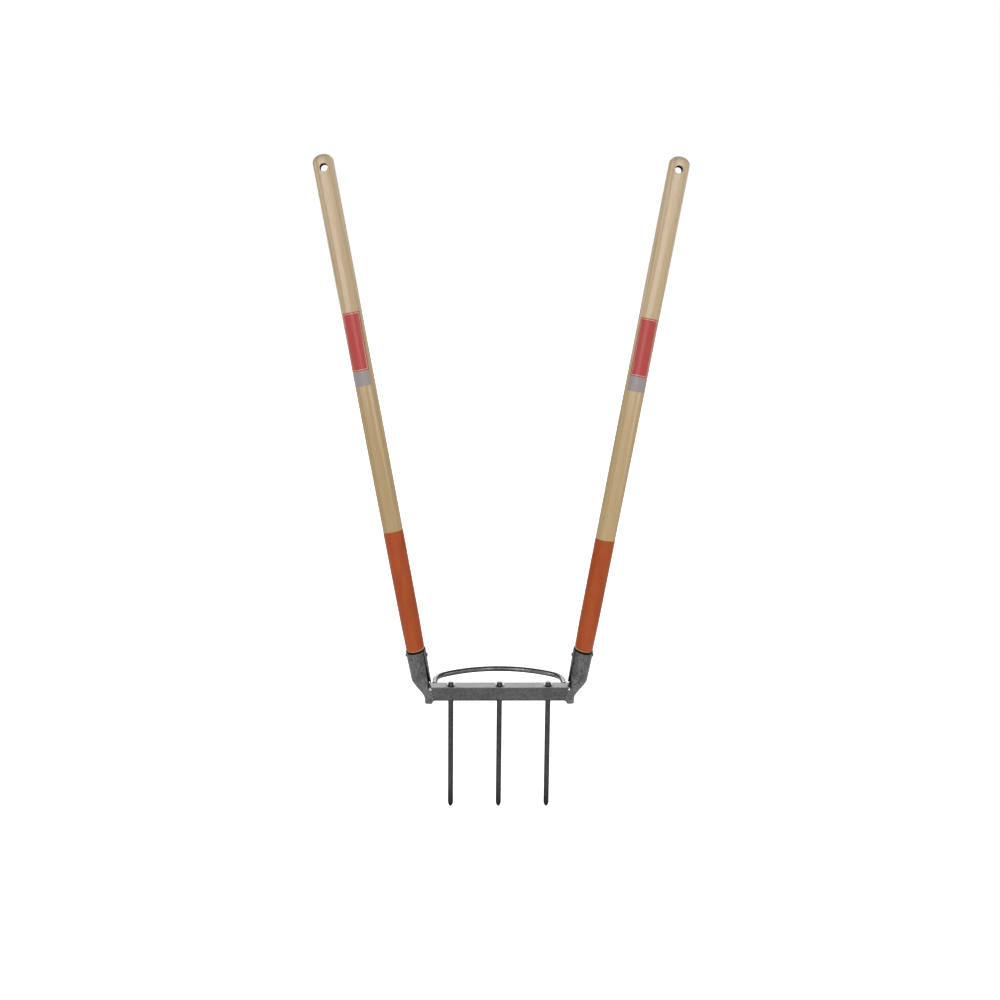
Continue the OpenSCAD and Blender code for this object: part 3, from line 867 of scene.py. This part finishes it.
def ash_grain():
    """Ash: growth rings cut along the handle as long soft lines, porous in their dark half, with broad
    pale and tan streaks, and a tone that warms towards the foot. Place is in the handle's own frame."""
    tree, given, wanted = new_group(
        "ash grain",
        [("Place", "Vector"), ("Pale", "Color"), ("Tan", "Color")],
        [("Color", "Color"), ("Roughness", "Float"), ("Height", "Float")],
    )
    place = given["Place"]
    long_way = stretched(tree, place, (1, 1, 0.02))
    wander = node(tree, "TexNoise", Vector=stretched(tree, place, (1, 1, 0.12)), Scale=14.0, Detail=2.0)
    shifted = node(tree, "VectorMath", [("operation", "MULTIPLY_ADD")])
    put(shifted.inputs[0], wander.outputs["Color"])
    put(shifted.inputs[1], wander_reach)
    put(shifted.inputs[2], place)
    centred = node(tree, "Mapping", Vector=shifted.outputs["Vector"], Location=pith, Scale=(1, 1, 0))
    from_pith = node(tree, "VectorMath", [("operation", "LENGTH")])
    put(from_pith.inputs[0], centred.outputs["Vector"])
    year = maths(tree, "FRACT", maths(tree, "MULTIPLY", from_pith.outputs["Value"], rings_a_metre))
    early = maths(tree, "MULTIPLY", rise(tree, year, 0.5, 0.9), rise(tree, year, 1.0, 0.93))
    pores = rise(tree, noise(tree, stretched(tree, place, (1, 1, 0.035)), 1900.0, 2.0), 0.54, 0.68)
    pores = maths(tree, "MULTIPLY", pores, maths(tree, "MULTIPLY_ADD", early, 0.8, 0.2))
    broad = rise(tree, noise(tree, long_way, 130.0, 2.0), 0.36, 0.64)
    fine = noise(tree, long_way, 520.0, 3.0)
    low = band(tree, parts_of(tree, place)["Z"], warm_band)
    tone = maths(tree, "MULTIPLY_ADD", broad, 0.55, maths(tree, "MULTIPLY", fine, 0.2))
    tone = maths(tree, "MULTIPLY_ADD", early, 0.28, tone)
    tone = maths(tree, "MULTIPLY_ADD", low, 0.6, tone)
    wood = blend(tree, tone, given["Pale"], given["Tan"])
    put(wanted["Color"], blend(tree, maths(tree, "MULTIPLY", pores, 0.45), wood, pore_tone))
    put(wanted["Roughness"], maths(tree, "MULTIPLY_ADD", fine, 0.15, 0.42))
    put(wanted["Height"], maths(tree, "SUBTRACT", maths(tree, "MULTIPLY", fine, 0.5), pores))
    return tree


ash = ash_grain()


def in_handle(tree, place, side):
    """Object coordinates turned into a handle's own frame, with Z along the handle."""
    turned = (Matrix.Rotation(side * splay, 3, "Y") @ Matrix.Rotation(-lean, 3, "X")).transposed()
    own = node(tree, "Mapping", Vector=place, Rotation=turned.to_euler())
    own.inputs["Location"].default_value = -(turned @ Vector(foot * (side, 1, 1) * MM))
    return own.outputs["Vector"]


def ash_wood(side):
    """The handle's wood, with the grain laid along that handle: greyer, rough end grain on the crown,
    darkened there partly as painted shade on the top-lit crown; painted shade, nearly black, in the bore;
    and a dark ring over the socket's rim, painted shade of the gap there and scorch where the hot socket
    was driven on."""
    material, tree, shader, place = finish("ash " + ("left" if side < 0 else "right"), 0.0)
    own = in_handle(tree, place, side)
    grain = node(tree, "Group", [("node_tree", ash)], Place=own)
    put(grain.inputs["Pale"], pale_ash)
    put(grain.inputs["Tan"], tan_ash_and_shade[side])
    spot = parts_of(tree, own)
    over_rim = maths(tree, "MULTIPLY_ADD", spot["Y"], -np.tan(lean) - scorch_shade_tilt, spot["Z"])
    edge = mouth_rise + scorch_shade
    scorch_shaded = band(tree, over_rim, (edge + scorch_shade_soft, edge - scorch_shade_soft))
    end_grain_and_shade = band(tree, spot["Z"], (crown_t + end_grain_in, top_t))
    wood = blend(tree, maths(tree, "MULTIPLY", end_grain_and_shade, 0.5), grain.outputs["Color"], end_grain_and_shade_tone)
    wood = blend(tree, wear_and_light_share(tree, place), wood, bore_shade_tone)
    put(shader.inputs["Base Color"], blend(tree, scorch_shaded, wood, scorch_shade_tone))
    shader.inputs["Specular IOR Level"].default_value = 0.1
    open_grain = maths(tree, "MAXIMUM", wear_and_light_share(tree, place), end_grain_and_shade)
    put(shader.inputs["Roughness"], maths(tree, "MAXIMUM", grain.outputs["Roughness"], open_grain))
    bumped(tree, shader, grain.outputs["Height"], 0.00008)
    return material


for side, name in ((-1, "handle_left"), (1, "handle_right")):
    grids = [grid * (side, 1, 1, 1) for grid in turned_handle(hole_turn[side])]
    skin(name + ".turned", grids, ash_wood(side), "ash_wood", name)


# Lacquer. The lower end of each handle was dipped in orange lacquer. It ends in a slightly wavy line
# above, and just over the socket's rim, where driving the handle in scraped it back to bare wood.
scrape = {-1: scorch_shade + 1.2, 1: scorch_shade + 0.9}
lacquer_rise = {-1: 219.0, 1: 204.0}
dip_tilt = {-1: 0.0, 1: 0.9}
dip_sag = 1.5
scrape_in = 4.0
scrape_spread = 0.55
thin_orange = (0.45, 0.092, 0.024, 1)
thick_orange = (0.355, 0.064, 0.017, 1)


def dipped_coat(side):
    """A closed skin over the wood: its upper and lower edge are places along the handle for each turn
    round it, and between them the coat is as thick as the dip left it, with a round upper edge."""
    turn = np.linspace(0, 2 * np.pi, 145)[None, :]
    top = mouth_rise + lacquer_rise[side] + dip_sag * (1 + np.sin(turn)) + dip_tilt[side] * np.cos(turn)
    top = top + 0.35 * np.sin(2 * turn + side) + 0.2 * np.sin(5 * turn + 1.7)
    inner_side = np.exp(-((np.angle(np.exp(1j * (turn - np.pi))) / scrape_spread) ** 2))
    chips = 0.25 * np.sin(17 * turn + side) + 0.2 * np.sin(31 * turn + 2.1 * side)
    dip = mouth_d / 2 * np.sin(turn) * (np.tan(lean) + scorch_shade_tilt)
    low = mouth_rise + scrape[side] + chips + scrape_in * inner_side + dip
    share = np.concatenate([
        [0, 0, 0.0005, 0.002, 0.006], np.linspace(0.012, 0.994, 70), [0.997, 0.9985, 1, 1],
    ])
    thick = np.concatenate([
        [-0.15, 0.08, 0.3, 0.38, 0.34], np.full(70, lacquer), [0.28, 0.2, 0.06, -0.15],
    ])
    t = mix(low, top, share[:, None])
    radius = wood_r(t) + thick[:, None]
    coat = grid_of(*on_right(radius * np.cos(turn), radius * np.sin(turn), t))
    return np.concatenate([coat, coat[:1]])


def orange_coat():
    """Satin orange lacquer, thin enough that the grain shows as faint lengthwise ridges, with soft
    darker clouds where it ran thicker."""
    material, tree, shader, place = finish("orange lacquer", 0.0)
    clouds = rise(tree, noise(tree, stretched(tree, place, (1, 1, 0.25)), 60.0, 4.0), 0.3, 0.7)
    ridges = noise(tree, stretched(tree, place, (1, 1, 0.04)), 420.0, 3.0)
    tone = maths(tree, "MULTIPLY_ADD", ridges, 0.4, maths(tree, "MULTIPLY", clouds, 0.6))
    put(shader.inputs["Base Color"], blend(tree, tone, thin_orange, thick_orange))
    put(shader.inputs["Roughness"], maths(tree, "MULTIPLY_ADD", clouds, 0.12, 0.42))
    shader.inputs["Specular IOR Level"].default_value = 0.16
    bumped(tree, shader, ridges, 0.00008)
    return material


orange = orange_coat()
for side, name in ((-1, "lacquer_left"), (1, "lacquer_right")):
    skin(name + ".dipped", [dipped_coat(side) * (side, 1, 1, 1)], orange, "orange_lacquer", name)


# Rivets. A steel rivet right through socket and handle, side to side, under the mouth. Both heads are
# round and a little flattened by the hammer.
rivet_t = mouth_rise - 9.5
rivet_head_r = 3.75
rivet_head_h = 1.8
rivet_skirt = 0.2
rivet_sunk = 1.2


def hammered_rivet():
    """Head, shank and head as one turned profile about a level line; each head's dome is dented by slow
    waves, and its skirt ends inside the sheet."""
    half_len = (end_d / 2 + (rivet_t - end_t) * taper + lacquer + seat + sheet) / np.cos(splay)
    dome = np.linspace(0, np.pi / 2, 14)
    radius = np.concatenate([[rivet_head_r], rivet_head_r * np.cos(dome) ** 0.8])
    out = np.concatenate([
        [half_len - rivet_sunk],
        half_len + rivet_skirt + (rivet_head_h - rivet_skirt) * np.sin(dome),
    ])
    radius = np.concatenate([radius[::-1], radius])[:, None]
    out = np.concatenate([-out[::-1], out])[:, None]
    turn = np.linspace(0, 2 * np.pi, 49)[None, :]
    radius = radius * (1 + 0.03 * np.sin(3 * turn + out) + 0.02 * np.sin(5 * turn - out))
    crown = np.clip((np.abs(out) - half_len) / rivet_head_h, 0, 1) ** 2 + 0 * turn
    x = out * np.cos(splay) - radius * np.cos(turn) * np.sin(splay)
    t = rivet_t + out * np.sin(splay) + radius * np.cos(turn) * np.cos(splay)
    return grid_of(*on_right(x, radius * np.sin(turn), t), 0.5 * crown)


rivet_steel = steel(
    "rivet steel", dull=0.07, bright=0.14, along=(1, 1, 1), wear_and_light=wear_and_light_share, satin=0.36, edge=0.6,
)
for side, name in ((-1, "rivet_left"), (1, "rivet_right")):
    skin(name + ".hammered", [hammered_rivet() * (side, 1, 1, 1)], rivet_steel, "rivet_steel", name)


# Labels. A coated paper label wrapped part of the way round the front of each handle: a plain red field
# in a thin pale line, with a grey panel at its foot.
label_len = 133.0
label_w = 35.5
label_turn = {-1: np.radians(9), 1: 0.0}
label_tilt = {-1: np.tan(np.radians(1.8)), 1: np.tan(np.radians(0.8))}
label_drop = {-1: 351.0, 1: 360.0}
label_foot = 27.0
label_corner = 1.5
label_thick = 0.25
label_edge = (0.02, 0.1)
label_end_share = 0.02
label_gap = 0.01
foot_soft = 0.2
line_in = 2.5
line_band = (0.35, 0.245)
line_end = (0.4, 0.3)
label_red = ((0.5, 0.055, 0.045, 1), (0.4, 0.04, 0.035, 1))
label_grey = ((0.37, 0.32, 0.317, 1), (0.275, 0.235, 0.233, 1))
label_line = (0.75, 0.7, 0.62, 1)


def stuck_label(side):
    """A thin closed sheet on the cylinder, with round corners: its half width shrinks by the corner's
    sagitta at both ends. It is thinned at its edges, and its inner side lies just off the wood."""
    middle = top_t - label_drop[side]
    ends = np.linspace(0, np.pi / 2, 7)
    tail = label_len / 2 - label_corner + label_corner * np.sin(ends)
    along = np.concatenate([-tail[::-1], np.linspace(-tail[0], tail[0], 60)[1:-1], tail])[:, None]
    past = np.clip(np.abs(along) - tail[0], 0, None)
    half = label_w / 2 - label_corner + np.sqrt(np.clip(label_corner ** 2 - past ** 2, 0, None))
    across = np.concatenate([[-1, -1], np.linspace(-1, 1, 41), [1, 1]])[None, :]
    thick = np.concatenate([label_edge, np.full(41, label_thick), label_edge[::-1]])[None, :]
    close = np.ones_like(along)
    close[[0, -1]] = label_end_share
    turn = label_turn[side] - np.pi / 2 + (half * across - label_tilt[side] * along) / handle_r
    radius = handle_r + thick * close
    flat = handle_r + label_gap + 0 * turn
    return [
        grid_of(*on_right(r * np.cos(turn), r * np.sin(turn), middle + along + 0 * across))
        for r in (radius, flat)
    ]


def on_line(tree, value, at):
    """1 on the thin line at a place, 0 beside it."""
    off = maths(tree, "ABSOLUTE", maths(tree, "SUBTRACT", value, at * MM))
    return band(tree, off, line_band)


def label_paper(name, side):
    """Coated paper: a red field over a grey foot, mottled by its fibres, with a thin pale line just
    inside the field. up runs along the handle from the label's middle, and side_way round it."""
    material, tree, shader, place = finish(name + " paper", 0.0, 0.1)
    spot = parts_of(tree, in_handle(tree, place, side))
    up = maths(tree, "SUBTRACT", spot["Z"], (top_t - label_drop[side]) * MM)
    round_way = maths(tree, "ARCTAN2", spot["X"], maths(tree, "MULTIPLY", spot["Y"], -1.0))
    over = maths(tree, "MULTIPLY_ADD", round_way, side * handle_r * MM, -label_turn[side] * handle_r * MM)
    side_way = maths(tree, "ABSOLUTE", maths(tree, "MULTIPLY_ADD", up, label_tilt[side], over))
    foot_line = label_foot - label_len / 2
    fibres = noise(tree, place, 700.0, 3.0)
    red, grey = (blend(tree, fibres, *tones) for tones in (label_red, label_grey))
    on_foot = band(tree, up, (foot_line + foot_soft, foot_line - foot_soft))
    beside, top, low = label_w / 2 - line_in, label_len / 2 - line_in, foot_line + line_in
    far, near = line_end
    across = band(tree, side_way, (beside + far, beside + near))
    over_low = band(tree, up, (low - far, low - near))
    under_top = band(tree, up, (top + far, top + near))
    along = maths(tree, "MULTIPLY", over_low, under_top)
    sides = maths(tree, "MULTIPLY", on_line(tree, side_way, beside), along)
    caps = maths(tree, "MAXIMUM", on_line(tree, up, top), on_line(tree, up, low))
    line_share = maths(tree, "MAXIMUM", sides, maths(tree, "MULTIPLY", caps, across))
    put(shader.inputs["Base Color"], blend(tree, line_share, blend(tree, on_foot, red, grey), label_line))
    put(shader.inputs["Roughness"], maths(tree, "MULTIPLY_ADD", fibres, 0.15, 0.4))
    bumped(tree, shader, fibres, 0.00003)
    return material


for side, name in ((-1, "label_left"), (1, "label_right")):
    grids = [grid * (side, 1, 1, 1) for grid in stuck_label(side)]
    skin(name + ".paper", grids, label_paper(name, side), "label_paper", name)


# Floor and light. A plain white floor under the tines' points, a large soft lamp at the front, one on
# each side, a wide one overhead and behind, and an even white surround.
floor_z = -tine_len * MM
floor = bpy.data.objects.new("floor", bpy.data.meshes.new("floor"))
floor_reach = 120.0
around = ((-1, -1), (1, -1), (1, 1), (-1, 1))
corners = [(x * floor_reach, y * floor_reach, floor_z) for x, y in around]
floor.data.from_pydata(corners, [], [(0, 1, 2, 3)])
bpy.context.scene.collection.objects.link(floor)
white = bpy.data.materials.new("white floor")
white.use_nodes = True
tree = white.node_tree
tree.nodes.remove(tree.nodes["Principled BSDF"])
matt = node(tree, "BsdfDiffuse", Color=(0.8, 0.8, 0.8, 1))
path = node(tree, "LightPath").outputs
seen = maths(tree, "MAXIMUM", path["Is Glossy Ray"], path["Is Transmission Ray"])
seen = maths(tree, "MAXIMUM", path["Is Camera Ray"], seen)
glow = node(tree, "Emission", Color=(1, 1, 1, 1), Strength=maths(tree, "MULTIPLY", seen, 0.8))
both = node(tree, "AddShader")
put(both.inputs[0], matt.outputs[0])
put(both.inputs[1], glow.outputs[0])
put(tree.nodes["Material Output"].inputs["Surface"], both.outputs[0])
floor.data.materials.append(white)


def soft_lamp(name, place, aim, width, height, power):
    """A soft lamp that faces a point."""
    lamp = bpy.data.objects.new(name, bpy.data.lights.new(name, "AREA"))
    lamp.data.shape = "RECTANGLE"
    lamp.data.size = width
    lamp.data.size_y = height
    lamp.data.energy = power
    lamp.location = place
    lamp.rotation_euler = (Vector(aim) - Vector(place)).to_track_quat("-Z", "Y").to_euler()
    bpy.context.scene.collection.objects.link(lamp)


soft_lamp("front lamp", (-0.5, -3.9, 2.6), (0, 0.1, 0.4), 2.6, 2.6, 95)
soft_lamp("right lamp", (3.4, -1.9, 2.3), (0, 0.1, 0), 2.2, 1.3, 37)
soft_lamp("left lamp", (-3.6, -1.4, 2.2), (0, 0.1, 0), 1.4, 1.3, 20)
soft_lamp("back lamp", (0, 4.2, 2.1), (0, 0, 0.1), 4.5, 1.6, 138)
world = bpy.data.worlds.new("surround")
world.use_nodes = True
world.node_tree.nodes["Background"].inputs["Color"].default_value = (1, 1, 1, 1)
world.node_tree.nodes["Background"].inputs["Strength"].default_value = 0.25
bpy.context.scene.world = world
bpy.context.scene.view_settings.view_transform = "Standard"
